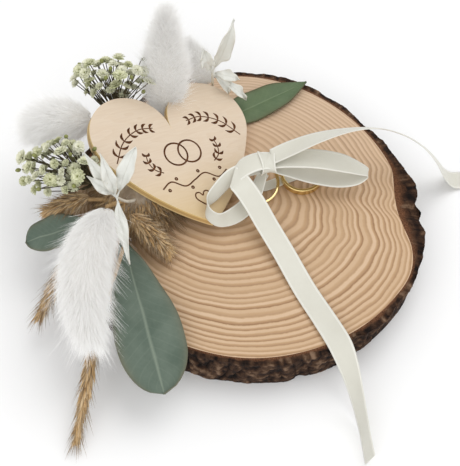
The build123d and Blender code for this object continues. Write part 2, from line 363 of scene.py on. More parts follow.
bpy.ops.mesh.primitive_circle_add(vertices=around, radius=1, location=(0, 0, 0))
bark = bpy.context.object
bark.name = "bark_ring"
bpy.ops.object.mode_set(mode="EDIT")
bpy.ops.mesh.select_all(action="SELECT")
for step in range(rows + 2 * lips):
    bpy.ops.mesh.extrude_region_move(TRANSFORM_OT_translate={"value": (0, 0, 1)})
bpy.ops.object.mode_set(mode="OBJECT")

crust = bark.data.attributes.new("crust", "FLOAT", "POINT")
relief = bark.data.attributes.new("relief", "FLOAT", "POINT")
for vertex, outward, height_mark in zip(bark.data.vertices, crust.data, relief.data):
    angle = math.atan2(vertex.co.y, vertex.co.x)
    step = round(vertex.co.z)
    inner, outer = inner_reach(angle), bark_reach(angle)
    thick = outer - inner + 1.0 * MM * gouge(angle, 22, 24)
    thick *= 1 - 0.5 * gouge(angle, -54, 3.2) - 0.22 * gouge(angle, 2, 3) - 0.25 * gouge(angle, -72, 2)
    thick -= 1.8 * MM * gouge(angle, -5, 4) - 1.6 * MM * gouge(angle, 9, 5) + 1.0 * MM * gouge(angle, -35, 12)
    if step <= lips:
        out, height = step / lips, slice_top
    elif step <= lips + rows:
        out, height = 1.0, slice_top * (1 - (step - lips) / rows)
    else:
        out, height = 1 - (step - lips - rows) / lips, 0.0
    spot = Vector((math.cos(angle), math.sin(angle), 0)) * outer
    # Plates and cracks run up and down the trunk, so the noise is stretched along it.
    plates = noise.fractal(Vector((spot.x * 95, spot.y * 95, height * 42)), 1.0, 2.0, 2)
    cracks = 1 - abs(noise.noise(Vector((spot.x * 170, spot.y * 170, height * 48 + 9)))) * 4
    cracks = max(cracks, 0.0) ** 2
    scales = noise.fractal(Vector((spot.x * 430, spot.y * 430, height * 300)), 0.9, 2.0, 4)
    lumps = noise.noise(Vector((spot.x * 42, spot.y * 42, height * 25)))
    belly = math.sin(math.pi * min(max(height / slice_top, 0), 1))
    swell = plates * 0.9 * MM + scales * (0.22 + 0.3 * belly) * MM + lumps * 1.3 * MM
    swell -= cracks * (0.25 + 1.1 * belly) * MM
    undercut = (1 - height / slice_top) * (3.6 * MM * gouge(angle, -25, 50) + 0.6 * MM)
    reach = inner + out * max(thick + swell + 0.5 * MM * belly - undercut, 0.9 * MM)
    chips = 0.35 + 0.9 * noise.noise(spot * 130 + Vector((0, 0, out * 2))) + 0.35 * noise.noise(spot * 420)
    drop = (0.2 + 0.8 * out) * max(0.0, chips) * MM + out * 1.4 * MM * gouge(angle, -54, 3.5)
    drop += out * 2.2 * MM * gouge(angle, -1, 4)
    if step <= lips:
        height -= drop * min(out * 3, 1)
    elif step >= lips + rows:
        height = 0.0
    # Relief is high on the plates and scales and low in the cracks; the finish colours the bark by it.
    relief_here = plates * 0.5 + 0.8 * scales - 0.55 * cracks
    vertex.co = (reach * math.cos(angle), reach * math.sin(angle), height)
    outward.value = out
    height_mark.value = relief_here
work = bmesh.new()
work.from_mesh(bark.data)
bmesh.ops.bridge_loops(work, edges=[edge for edge in work.edges if edge.is_boundary])
bmesh.ops.recalc_face_normals(work, faces=work.faces)
work.to_mesh(bark.data)
work.free()
only_select(bark)
bpy.ops.object.shade_smooth_by_angle(angle=math.radians(50))

rough_bark, tree, shader = finish_material("scaly_bark", 0.9, Specular_IOR_Level=0.2)
out_mark = node(tree, "Attribute")
out_mark.attribute_name = "crust"
relief_mark = node(tree, "Attribute")
relief_mark.attribute_name = "relief"
coarse, fine = add_speckle(tree, 260, 1.6)
# Colour follows the relief: lighter on the raised plates, darker in the cracks. Part of this is the bark's
# weathered colour, part is painted shade in the cracks.
tone = math_node(tree, "ADD", math_node(tree, "MULTIPLY", relief_mark.outputs["Fac"], 0.45), coarse)
outer_colour = ramp(tree, tone, [(0.10, (0.006, 0.003, 0.002)), (0.36, (0.030, 0.014, 0.008)),
                                 (0.62, (0.080, 0.042, 0.023)), (0.95, (0.23, 0.145, 0.092))])
inner_colour = ramp(tree, fine, [(0.2, (0.060, 0.022, 0.010)), (0.8, (0.235, 0.105, 0.050))])
frayed = math_node(tree, "ADD", out_mark.outputs["Fac"], math_node(tree, "MULTIPLY", coarse, 0.5))
edge_share = ramp(tree, frayed, [(0.35, (1, 1, 1)), (0.75, (0, 0, 0))])
tree.links.new(blend_colours(tree, edge_share, outer_colour, inner_colour), shader.inputs["Base Color"])
raise_surface(tree, shader, math_node(tree, "ADD", coarse, fine), 0.7, 0.0008)
bark.data.materials.append(rough_bark)
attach(bark, "holder")
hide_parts("bark_rim")

# ---- Hot glue. Every stem is pressed into one mound of hot glue on the wood, and the heart sits on that
# mound and on a dab under its tip. A third dab holds the ribbon. It sets milky, lumpy and a little shiny.
hot_glue, tree, shader = finish_material("set_hot_glue", 0.3, Specular_IOR_Level=0.5)
coarse, fine = add_speckle(tree, 120, 1.8)
# The glue is coloured a dark brown rather than milky: painted shade for the dark gap under the heart.
glue_colour_with_painted_shade = ramp(tree, coarse, [(0.25, (0.26, 0.19, 0.12)), (0.6, (0.42, 0.33, 0.23)),
                                  (0.95, (0.60, 0.51, 0.39))])
tree.links.new(glue_colour_with_painted_shade, shader.inputs["Base Color"])
raise_surface(tree, shader, coarse, 0.4, 0.0006)


def lumpy_dab(node_name, name, voxel, lump):
    """The glue solid, given an even skin and squeezed into lumps that never swell past it."""
    dab = cad_copy(node_name, name)
    only_select(dab)
    skin = dab.modifiers.new("even_skin", "REMESH")
    skin.mode = "VOXEL"
    skin.voxel_size = voxel
    bpy.ops.object.modifier_apply(modifier=skin.name)
    for vertex in dab.data.vertices:
        folds = noise.noise(vertex.co * 150) + 0.5 * noise.noise(vertex.co * 340)
        vertex.co += vertex.normal * lump * (folds - 0.7)
    bpy.ops.object.shade_smooth()
    dab.data.materials.append(hot_glue)
    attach(dab, "holder")
    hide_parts(node_name)
    return dab


lumpy_dab("glue_bed", "glue_mound", 0.9 * MM, 1.1 * MM)
lumpy_dab("plaque_glue", "glue_under_tip", 0.5 * MM, 0.5 * MM)
lumpy_dab("ribbon_glue", "glue_under_ribbon", 0.15 * MM, 0.05 * MM)

# ---- Eucalyptus. Three dried leaves, leathery and grey-green with a powdery bloom, a pale rib and fine
# side veins. Two are tucked into the grass beside the glue and hang past the rim. One lies on the wood.


def mm(x, y, z):
    return Vector((x * MM, y * MM, z * MM))


def along(marks, share):
    """A value read smoothly off (share, value) marks."""
    slopes = [(high - low) / (b - a) for (a, low), (b, high) in zip(marks, marks[1:])]
    for n, ((a, low), (b, high)) in enumerate(zip(marks, marks[1:])):
        if share <= b or n == len(slopes) - 1:
            enter = slopes[n] if n == 0 else (slopes[n - 1] + slopes[n]) / 2
            leave = slopes[n] if n == len(slopes) - 1 else (slopes[n] + slopes[n + 1]) / 2
            gap, part = b - a, min(max((share - a) / (b - a), 0), 1)
            value = low * (1 + 2 * part) * (1 - part) ** 2 + high * (3 - 2 * part) * part**2
            value += gap * (enter * part * (1 - part) ** 2 - leave * (1 - part) * part**2)
            return max(value, 0.0)


def leaf_blade(name, base, tip, width, marks, up=(0, 0, 1), arch=0.0, cup=0.2, wave=0.0, thick=0.5,
               grid=(14, 44)):
    """A leaf from base to tip: a grid drawn in to the leaf's outline and cupped along its rib."""
    bpy.ops.mesh.primitive_grid_add(x_subdivisions=grid[0], y_subdivisions=grid[1], size=1)
    blade = bpy.context.object
    blade.name = name
    forward = (tip - base).normalized()
    side = forward.cross(Vector(up)).normalized()
    lift = side.cross(forward)
    length = (tip - base).length
    for vertex in blade.data.vertices:
        s, t = vertex.co.x * 2, vertex.co.y + 0.5
        half = width * MM / 2 * along(marks, t)
        sway = wave * MM * noise.noise(Vector((s * 1.3, t * 5.0, base.x * 900)))
        ruffle = wave * MM * 0.8 * abs(s) ** 2 * math.sin(t * 17 + (2 if s > 0 else 0) + base.y * 700)
        height = arch * MM * 4 * t * (1 - t) + cup * half * abs(s) ** 1.6
        height -= 0.05 * half * math.exp(-(s * 9) ** 2)
        spread = side * (half * s + 0.4 * sway)
        vertex.co = base + forward * (length * t) + spread + lift * (height + sway + ruffle)
    work = bmesh.new()
    work.from_mesh(blade.data)
    bmesh.ops.remove_doubles(work, verts=work.verts, dist=2e-5)
    work.to_mesh(blade.data)
    work.free()
    only_select(blade)
    blade.modifiers.new("leaf_thickness", "SOLIDIFY").thickness = thick * MM
    bpy.ops.object.modifier_apply(modifier="leaf_thickness")
    bpy.ops.object.shade_smooth()
    return blade


# Shared effect: the pattern of a leaf's rib and side veins, read from the leaf's own UV map.
veins = bpy.data.node_groups.new("leaf_veins", "ShaderNodeTree")
for label, value in (("Pairs", 16.0), ("Slant", 5.0), ("Rib Width", 0.035)):
    veins_socket = veins.interface.new_socket(name=label, in_out="INPUT", socket_type="NodeSocketFloat")
    veins_socket.default_value = value
for label in ("Rib", "Side Veins", "Edge"):
    veins.interface.new_socket(name=label, in_out="OUTPUT", socket_type="NodeSocketFloat")
veins_in = veins.nodes.new("NodeGroupInput")
veins_out = veins.nodes.new("NodeGroupOutput")
leaf_uv = node(veins, "SeparateXYZ", Vector=node(veins, "UVMap").outputs[0])
from_rib = math_node(veins, "ABSOLUTE", math_node(veins, "SUBTRACT", leaf_uv.outputs["X"], 0.5))
rib = math_node(veins, "DIVIDE", from_rib, veins_in.outputs["Rib Width"])
rib = math_node(veins, "SUBTRACT", 1.0, math_node(veins, "MINIMUM", rib, 1.0))
veins.links.new(rib, veins_out.inputs["Rib"])
run = math_node(veins, "MULTIPLY", leaf_uv.outputs["Y"], veins_in.outputs["Pairs"])
run = math_node(veins, "SUBTRACT", run, math_node(veins, "MULTIPLY", from_rib, veins_in.outputs["Slant"]))
wave_height = math_node(veins, "ABSOLUTE", math_node(veins, "SUBTRACT", math_node(veins, "FRACT", run), 0.5))
line = math_node(veins, "MINIMUM", math_node(veins, "MULTIPLY", wave_height, 9.0), 1.0)
line = math_node(veins, "SUBTRACT", 1.0, line)
veins.links.new(line, veins_out.inputs["Side Veins"])
edge = math_node(veins, "MULTIPLY", from_rib, 2.0)
veins.links.new(math_node(veins, "POWER", edge, 8.0), veins_out.inputs["Edge"])


def leaf_finish(name, roughness, face, blotch, vein, rim, pairs=16.0, slant=5.0):
    material, tree, shader = finish_material(name, roughness, Specular_IOR_Level=0.3)
    pattern = tree.nodes.new("ShaderNodeGroup")
    pattern.node_tree = veins
    pattern.inputs["Pairs"].default_value = pairs
    pattern.inputs["Slant"].default_value = slant
    coarse, fine = add_speckle(tree, 70, 1.8)
    colour = blend_colours(tree, coarse, face, blotch)
    side = math_node(tree, "MULTIPLY", pattern.outputs["Side Veins"], 0.09)
    colour = blend_colours(tree, side, colour, vein)
    colour = blend_colours(tree, math_node(tree, "MULTIPLY", pattern.outputs["Rib"], 0.6), colour, vein)
    colour = blend_colours(tree, math_node(tree, "MULTIPLY", pattern.outputs["Edge"], 0.6), colour, rim)
    tree.links.new(colour, shader.inputs["Base Color"])
    height = math_node(tree, "SUBTRACT", fine, math_node(tree, "ADD", pattern.outputs["Rib"], side))
    raise_surface(tree, shader, height, 0.5, 0.0003)
    return material


eucalyptus_green = leaf_finish("eucalyptus_bloom", 0.65, (0.070, 0.105, 0.078), (0.150, 0.190, 0.150),
                               (0.27, 0.32, 0.25), (0.16, 0.14, 0.085))
eucalyptus_dark = leaf_finish("eucalyptus_upper_face", 0.5, (0.066, 0.108, 0.050), (0.125, 0.175, 0.085),
                              (0.19, 0.25, 0.14), (0.10, 0.07, 0.03))
round_leaf = [(0, 0.07), (0.08, 0.16), (0.26, 0.6), (0.45, 0.93), (0.62, 1.0), (0.8, 0.9), (0.92, 0.62),
              (0.98, 0.28), (1, 0.0)]
pointed_leaf = [(0, 0.2), (0.08, 0.5), (0.25, 0.9), (0.45, 1.0), (0.7, 0.8), (0.9, 0.34), (1, 0.0)]
paddle_leaf = [(0, 0.10), (0.08, 0.24), (0.25, 0.55), (0.5, 0.88), (0.7, 1.0), (0.84, 0.9), (0.94, 0.6),
               (0.985, 0.28), (1, 0.0)]
eucalyptus = [
    ("back", (-13, 48.5, 20.9), (31, 72, 24), 16.5, pointed_leaf,
     (0.05, -0.08, 1), 0.2, 0.06, 0.5, eucalyptus_dark),
    ("left", (-64, -13, 28), (-95, -22, 26), 15.5, round_leaf,
     (0.1, -0.25, 1), 2.5, 0.18, 0.7, eucalyptus_green),
    ("front", (-53, -20, 24), (-32, -91.5, 21.5), 29, paddle_leaf,
     (0.1, -0.12, 1), 3.0, 0.13, 1.1, eucalyptus_green),
]
for place, base, tip, width, marks, up, arch, cup, wave, finish in eucalyptus:
    leaf = leaf_blade("eucalyptus_" + place, mm(*base), mm(*tip), width, marks, up, arch, cup, wave)
    leaf.data.materials.append(finish)
    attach(leaf, "holder")
    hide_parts("eucalyptus_leaf_" + place)

# ---- Reed grass. Four dry plumes on thin stalks: a straw-coloured axis crowded with pointed husks, each
# with a long brown awn, so that the plume is feathery and see-through at its edges.
dice = random.Random(11)


def strew(name, model, roots, aims, lengths, girths, droop=0.0):
    """Copies of one small model in one mesh, each stood on its root along its aim and drooping at its tip.
    Every copy carries its own tint, and its reach from root to tip, to the finish."""
    shape = [vertex.co.copy() for vertex in model.data.vertices]
    sides = [tuple(face.vertices) for face in model.data.polygons]
    paints = [face.material_index for face in model.data.polygons]
    corners, faces, tints, reaches = [], [], [], []
    for root, aim, length, girth in zip(roots, aims, lengths, girths):
        turn = aim.to_track_quat("Z", "Y").to_matrix() @ Matrix.Rotation(dice.uniform(0, 2 * math.pi), 3, "Z")
        start, tint = len(corners), dice.random()
        for corner in shape:
            point = turn @ Vector((corner.x * girth, corner.y * girth, corner.z * length))
            point += root
            point.z -= droop * length * corner.z**2
            corners.append(point)
            tints.append(tint)
            reaches.append(corner.z)
        faces.extend(tuple(start + corner for corner in side) for side in sides)
    mesh = bpy.data.meshes.new(name)
    mesh.from_pydata(corners, [], faces)
    mesh.attributes.new("tint", "FLOAT", "POINT").data.foreach_set("value", tints)
    mesh.attributes.new("reach", "FLOAT", "POINT").data.foreach_set("value", reaches)
    mesh.polygons.foreach_set("material_index", paints * len(roots))
    for material in model.data.materials:
        mesh.materials.append(material)
    piece = bpy.data.objects.new(name, mesh)
    bpy.context.scene.collection.objects.link(piece)
    return piece


def spike(name, sides, rings):
    """One slim closed spike, one unit tall: a cone whose girth at each height is set by (height, girth)."""
    bpy.ops.mesh.primitive_circle_add(vertices=sides, radius=1, fill_type="NGON")
    model = bpy.context.object
    model.name = name
    bpy.ops.object.mode_set(mode="EDIT")
    bpy.ops.mesh.select_all(action="SELECT")
    bpy.ops.transform.resize(value=(rings[0][1], rings[0][1], 1), center_override=(0, 0, 0))
    for (low, girth), (high, next_girth) in zip(rings, rings[1:]):
        bpy.ops.mesh.extrude_region_move(TRANSFORM_OT_translate={"value": (0, 0, high - low)})
        growth_here = next_girth / girth
        bpy.ops.transform.resize(value=(growth_here, growth_here, 1), center_override=(0, 0, high))
    bpy.ops.object.mode_set(mode="OBJECT")
    return model


def join_pieces(name, pieces):
    bpy.ops.object.select_all(action="DESELECT")
    for piece in pieces:
        piece.select_set(True)
    bpy.context.view_layer.objects.active = pieces[0]
    if len(pieces) > 1:
        bpy.ops.object.join()
    pieces[0].name = name
    return pieces[0]


def tinted_finish(name, roughness, root, tip, pale, share=0.6, glow=0.0, **constants):
    """A finish for strewn pieces: one colour at the root, another at the tip, each copy its own tint. Glow is
    painted light: an emission that stands for the light passing through fine white hair and lifts the shade
    inside it."""
    material, tree, shader = finish_material(name, roughness, **constants)
    tint = node(tree, "Attribute")
    tint.attribute_name = "tint"
    reach = node(tree, "Attribute")
    reach.attribute_name = "reach"
    colour = blend_colours(tree, reach.outputs["Fac"], root, tip)
    own = math_node(tree, "MULTIPLY", tint.outputs["Fac"], share)
    colour = blend_colours(tree, own, colour, pale)
    coarse, fine = add_speckle(tree, 160, 1.5)
    colour = blend_colours(tree, math_node(tree, "MULTIPLY", coarse, 0.3), colour, tip)
    tree.links.new(colour, shader.inputs["Base Color"])
    if glow:
        tree.links.new(colour, shader.inputs["Emission Color"])
        shader.inputs["Emission Strength"].default_value = glow
    raise_surface(tree, shader, fine, 0.3, 0.0001)
    return material


def stem_finish(name, roughness, dark, pale):
    """Dry stem: long fibres running up it."""
    material, tree, shader = finish_material(name, roughness, Specular_IOR_Level=0.3)
    coarse, fine = add_speckle(tree, 300, 1.6, (1, 1, 0.25))
    tree.links.new(blend_colours(tree, coarse, dark, pale), shader.inputs["Base Color"])
    raise_surface(tree, shader, fine, 0.5, 0.0002)
    return material


straw = stem_finish("dry_straw", 0.6, (0.30, 0.17, 0.07), (0.62, 0.44, 0.23))
dark_twig = stem_finish("dark_twig", 0.6, (0.035, 0.03, 0.015), (0.12, 0.10, 0.05))


def repaint(node_names, material):
    """A CAD node keeps its shape and gets a better finish."""
    for node_name in node_names:
        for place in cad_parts[node_name].material_slots:
            place.material = material


repaint(["reed_stems"], straw)
husk = spike("husk", 5, [(0, 0.3), (0.35, 1.0), (0.7, 0.6), (1, 0.05)])
husk.data.materials.append(tinted_finish("reed_husk", 0.7, (0.20, 0.10, 0.04), (0.58, 0.38, 0.17),
                                         (0.78, 0.62, 0.40), 0.6, Specular_IOR_Level=0.25))
awn = spike("awn", 3, [(0, 1.0), (0.5, 0.8), (1, 0.1)])
awn.data.materials.append(tinted_finish("reed_awn", 0.7, (0.50, 0.34, 0.18), (0.075, 0.035, 0.015),
                                        (0.50, 0.35, 0.19), 0.45, Specular_IOR_Level=0.25))
husk_hair = spike("husk_hair", 3, [(0, 1.0), (0.5, 0.8), (1, 0.1)])
husk_hair.data.materials.append(tinted_finish("reed_down", 0.8, (0.50, 0.36, 0.20), (0.72, 0.60, 0.42),
                                              (0.85, 0.78, 0.64), 0.6, Specular_IOR_Level=0.2))
plume_girth = [(0, 0.35), (0.3, 1.0), (0.6, 0.9), (1, 0.15)]
low_left, low_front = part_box("reed_plume_lower"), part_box("reed_plume_front")
plumes = [
    ("left", mm(-68, -3, 34), mm(-85, -9, 32), 4.2, 1.2),
    ("centre", mm(-49, -12, 33), mm(-33, -26, 27), 4.6, 1.3),
    ("lower", Vector(low_left[1]) - mm(3, 3, 3),
     Vector(low_left[0]) + mm(6, 2, 1), 2.8, 0.75),
    ("front", Vector(low_front[1]) - mm(3, 3, 3),
     Vector(low_front[0]) + mm(2, 3, 1), 2.4, 0.6),
]
for place, base, tip, belly, loose in plumes:
    forward = (tip - base).normalized()
    side = forward.cross(Vector((0, 0, 1))).normalized()
    lift = side.cross(forward)
    parts = []
    for model, count, out, spread, length, girth, droop in (
        (husk, 300, 0.7, 0.55, (3.6, 6.4), (0.40, 0.62), 0.15),
        (awn, 330, 0.8, 0.8, (6.0, 11.0), (0.09, 0.13), 0.3),
        (husk_hair, 550, 0.7, 1.1, (3.0, 6.5), (0.05, 0.07), 0.2),
    ):
        roots, aims, lengths, girths = [], [], [], []
        for _ in range(count):
            t, angle = dice.random() ** 0.9, dice.uniform(0, 2 * math.pi)
            outward = side * math.cos(angle) + lift * math.sin(angle)
            off_axis = outward * belly * MM * out * along(plume_girth, t) * dice.random()
            roots.append(base + (tip - base) * t + off_axis)
            aims.append((forward + outward * spread * loose * dice.uniform(0.3, 1.2)).normalized())
            lengths.append(dice.uniform(*length) * MM)
            girths.append(dice.uniform(*girth) * MM)
        parts.append(strew("reed_parts", model, roots, aims, lengths, girths, droop))
    plume = join_pieces("reed_head_" + place, parts)
    for vertex in plume.data.vertices:
        vertex.co.z = max(vertex.co.z, 0.4 * MM)
    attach(plume, "holder")
    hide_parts("reed_plume_" + place)

# A tuft of the same grass is pushed in round the glue, so that neither the glue nor the stem ends show.
tuft_parts = []
for model, count, length, girth, droop in (
    (husk, 900, (3.5, 7.0), (0.40, 0.65), 0.3),
    (awn, 1500, (7.0, 15.0), (0.08, 0.13), 0.55),
    (husk_hair, 2000, (4.0, 9.0), (0.05, 0.07), 0.4),
):
    roots, aims, lengths, girths = [], [], [], []
    for _ in range(count):
        angle = math.radians(dice.uniform(150, 345) if dice.random() < 0.72 else dice.uniform(-15, 150))
        height = dice.random()
        ring = math.sqrt(max(0.0, 1 - height * height)) * dice.uniform(0.86, 1.02)
        sideways, deep = 19 * ring * math.cos(angle), 24 * ring * math.sin(angle)
        roots.append(mm(-47 + sideways, 12 + deep, 20.4 + 17 * height))
        out = Vector((math.cos(angle), math.sin(angle), dice.uniform(-0.3, 0.35)))
        out += Vector((dice.gauss(0, 0.35), dice.gauss(0, 0.35), dice.gauss(0, 0.12)))
        aims.append(out.normalized())
        lengths.append(dice.uniform(*length) * MM)
        girths.append(dice.uniform(*girth) * MM)
    tuft_parts.append(strew("tuft_parts", model, roots, aims, lengths, girths, droop))
tuft = join_pieces("grass_tuft_round_glue", tuft_parts)
for vertex in tuft.data.vertices:
    vertex.co.z = max(vertex.co.z, slice_top + 0.3 * MM)
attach(tuft, "holder")
for model in (husk, awn, husk_hair):
    bpy.data.objects.remove(model)

# ---- Bunny tails. Four bleached heads of bunny-tail grass on dry stems. Each is a soft spindle packed with
# thousands of fine white hairs that lean towards its tip.
hair = spike("hair", 3, [(0, 1.0), (1, 0.12)])
# The hair's slight emission (0.075) is painted light that lifts the shade inside the fur.
hair.data.materials.append(tinted_finish("bleached_hair", 0.75, (0.78, 0.76, 0.725), (0.94, 0.94, 0.935),
                                         (0.91, 0.905, 0.895), 0.4, 0.075, Specular_IOR_Level=0.2))
tail_core, tree, shader = finish_material("bleached_husk", 0.9)
coarse, fine = add_speckle(tree, 400, 1.5)
core_colour = blend_colours(tree, coarse, (0.78, 0.76, 0.72), (0.88, 0.87, 0.85))
tree.links.new(core_colour, shader.inputs["Base Color"])
raise_surface(tree, shader, fine, 0.8, 0.0004)
even = [(0, 0.42), (0.22, 0.86), (0.5, 1.0), (0.78, 0.82), (1, 0.3)]
full_below = [(0, 0.35), (0.18, 0.75), (0.42, 1.0), (0.66, 0.74), (0.86, 0.40), (1, 0.12)]
bunny_tails = [
    ("top", (-36.5, 47, 28), (-34, 63, 87), 14.0, 0, 0, 19000, full_below),
    ("back", (-17, 65, 30), (-27, 73, 54), 9.0, 0, 0, 8000, full_below),
    ("left", (-68, 33.5, 42), (-98, 28, 45), 12.0, 2, 0, 12500, even),
    ("front", (-58, -16, 45), (-63, -76, 30), 13.0, 6, 4.5, 18500, even),
]
for place, base, tip, belly, arch, bow, hairs, tail_girth in bunny_tails:
    base, tip = mm(*base), mm(*tip)
    forward = (tip - base).normalized()
    side = forward.cross(Vector((0, 0, 1)) if abs(forward.z) < 0.9 else Vector((0, 1, 0))).normalized()
    lift = side.cross(forward)

    def middle_line(t, start):
        """A point on the tail's arched and bowed middle, from base to tip."""
        point = base + (tip - base) * (start + 0.9 * t) + Vector((0, 0, arch * MM * 4 * t * (1 - t)))
        return point + side * bow * MM * 4 * t * (1 - t)

    bpy.ops.mesh.primitive_uv_sphere_add(segments=28, ring_count=20, radius=1)
    core = bpy.context.object
    for vertex in core.data.vertices:
        t = (vertex.co.z + 1) / 2
        round_off = math.sqrt(max(0.0, 1 - abs(2 * t - 1) ** 5))
        flat = Vector((vertex.co.x, vertex.co.y))
        outward = (side * flat.x + lift * flat.y).normalized() if flat.length > 1e-6 else Vector()
        girth = 0.66 * belly * MM * along(tail_girth, t) * round_off
        vertex.co = middle_line(t, 0.03) + outward * girth * (1 + 0.06 * noise.noise(vertex.co * 6))
    core.data.materials.append(tail_core)
    only_select(core)
    bpy.ops.object.shade_smooth()
    roots, aims, lengths, girths = [], [], [], []
    for _ in range(hairs):
        t, angle = dice.uniform(0.01, 1) ** 0.95, dice.uniform(0, 2 * math.pi)
        outward = side * math.cos(angle) + lift * math.sin(angle)
        roots.append(middle_line(t, 0.02) + outward * 0.58 * belly * MM * along(tail_girth, t))
        slope = forward + Vector((0, 0, arch * MM * 4 * (1 - 2 * t) / (tip - base).length))
        slope += side * bow * MM * 4 * (1 - 2 * t) / (tip - base).length
        lean = dice.uniform(0.35, 0.95) * (1.15 - 0.6 * t)
        stray = side * dice.gauss(0, 0.22) + lift * dice.gauss(0, 0.22)
        loose = dice.random() < 0.08
        aims.append((slope * 0.9 + outward * lean * (1.5 if loose else 1) + stray).normalized())
        long = dice.uniform(5.5, 9.5) * (1.7 if loose else 1)
        lengths.append(belly / 12.5 * long * MM * (0.8 + (0.3 if tail_girth is even else -0.15) * t))
        girths.append(dice.uniform(0.055, 0.085) * MM)
    fur = strew("hairs", hair, roots, aims, lengths, girths, 0.12)
    tail = join_pieces("bunny_tail_" + place, [core, fur])
    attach(tail, "holder")
    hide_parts("bunny_head_" + place)
bpy.data.objects.remove(hair)
repaint(["bunny_stem_top", "bunny_stem_back", "bunny_stem_left", "bunny_stem_front"], straw)

# ---- Gypsophila. Two sprays of baby's breath, dried: dark wiry twigs that fork near the glue, each with a
# small cream-green double flower or a closed bud at its end.


def smooth_line(points, count):
    """Points spaced along a smooth line that goes through the given ones."""
    ends = [points[0] * 2 - points[1], *points, points[-1] * 2 - points[-2]]
    spans = len(points) - 1
    line = []
    for step in range(count + 1):
        place = min(step / count * spans, spans - 1e-9)
        first = int(place)
        t = place - first
        a, b, c, d = ends[first:first + 4]
        bend = (a * 2 - b * 5 + c * 4 - d) * t**2
        line.append((b * 2 + (c - a) * t + bend + (b * 3 - a - c * 3 + d) * t**3) / 2)
    return line


def stalk(name, route, thick, taper=0.6, sides=6, steps=10):
    """A round stem: one ring of corners pulled out step by step along a smooth route."""
    line = smooth_line(route, steps)
    bpy.ops.mesh.primitive_circle_add(vertices=sides, radius=1, fill_type="NGON", location=(0, 0, 0))
    stem = bpy.context.object
    stem.name = name
    bpy.ops.object.mode_set(mode="EDIT")
    bpy.ops.mesh.select_all(action="SELECT")
    for _ in range(steps):
        bpy.ops.mesh.extrude_region_move(TRANSFORM_OT_translate={"value": (0, 0, 1)})
    bpy.ops.object.mode_set(mode="OBJECT")
    for vertex in stem.data.vertices:
        step = round(vertex.co.z)
        forward = (line[min(step + 1, steps)] - line[max(step - 1, 0)]).normalized()
        side = forward.cross(Vector((0.12, 0.21, 0.97))).normalized()
        lift = side.cross(forward)
        girth = thick * MM * (1 + (taper - 1) * step / steps)
        vertex.co = line[step] + (side * vertex.co.x + lift * vertex.co.y) * girth
    face_outward(stem)
    only_select(stem)
    bpy.ops.object.shade_smooth()
    return stem


# Petal roots are dark olive: partly the flower's green base, partly painted shade between the florets.
petal_cream = tinted_finish("gypsophila_petal", 0.65, (0.30, 0.33, 0.11), (0.74, 0.74, 0.52),
                            (0.90, 0.89, 0.80), 0.8, Specular_IOR_Level=0.25)
calyx_green = tinted_finish("gypsophila_calyx", 0.65, (0.09, 0.10, 0.03), (0.28, 0.30, 0.10),
                            (0.20, 0.20, 0.08), 0.5, Specular_IOR_Level=0.25)
petals = []
petal_tiers = ((7, 62, 1.0, 0.10), (6, 40, 0.85, 0.07), (4, 16, 0.75, 0.04))
for tier, (count, tilt, length, out) in enumerate(petal_tiers):
    for k in range(count):
        bpy.ops.mesh.primitive_grid_add(x_subdivisions=3, y_subdivisions=4, size=1)
        petal = bpy.context.object
        for vertex in petal.data.vertices:
            s, t = vertex.co.x * 2, vertex.co.y + 0.5
            half = 0.36 * along([(0, 0.25), (0.6, 1.0), (1, 0.8)], t)
            notch = 0.10 * (1 - abs(s)) * t**3
            frill = 0.10 * math.sin(s * 4 + k * 1.9 + tier) * t
            vertex.co = (half * s, out + frill + 0.22 * t**2 + 0.08 * s * s, length * t * (1 - notch))
        only_select(petal)
        petal.modifiers.new("petal_thickness", "SOLIDIFY").thickness = 0.03
        bpy.ops.object.modifier_apply(modifier="petal_thickness")
        angle = 2 * math.pi * (k + 0.37 * tier) / count
        petal.data.transform(Matrix.Translation((0, 0, 0.28)) @ Matrix.Rotation(angle, 4, "Z")
                             @ Matrix.Rotation(-math.radians(tilt), 4, "X"))
        petal.data.materials.append(petal_cream)
        petals.append(petal)
calyx = spike("calyx", 8, [(0, 0.12), (0.18, 0.24), (0.38, 0.30), (0.46, 0.16)])
calyx.data.materials.append(calyx_green)
floret = join_pieces("floret_model", [*petals, calyx])
bud = spike("bud_model", 8, [(0, 0.15), (0.25, 0.42), (0.6, 0.48), (0.9, 0.24), (1, 0.05)])
bud.data.materials.append(calyx_green)
bud.data.materials.append(petal_cream)
sprays = [
    ("upper", (-54, 25, 28), (-59, 40, 37), (-60, 49, 54), (17, 8, 12), 46, 10),
    ("left", (-57, 4, 29), (-66, 2, 37), (-80, 2, 50), (17, 15, 10), 56, 14),
]
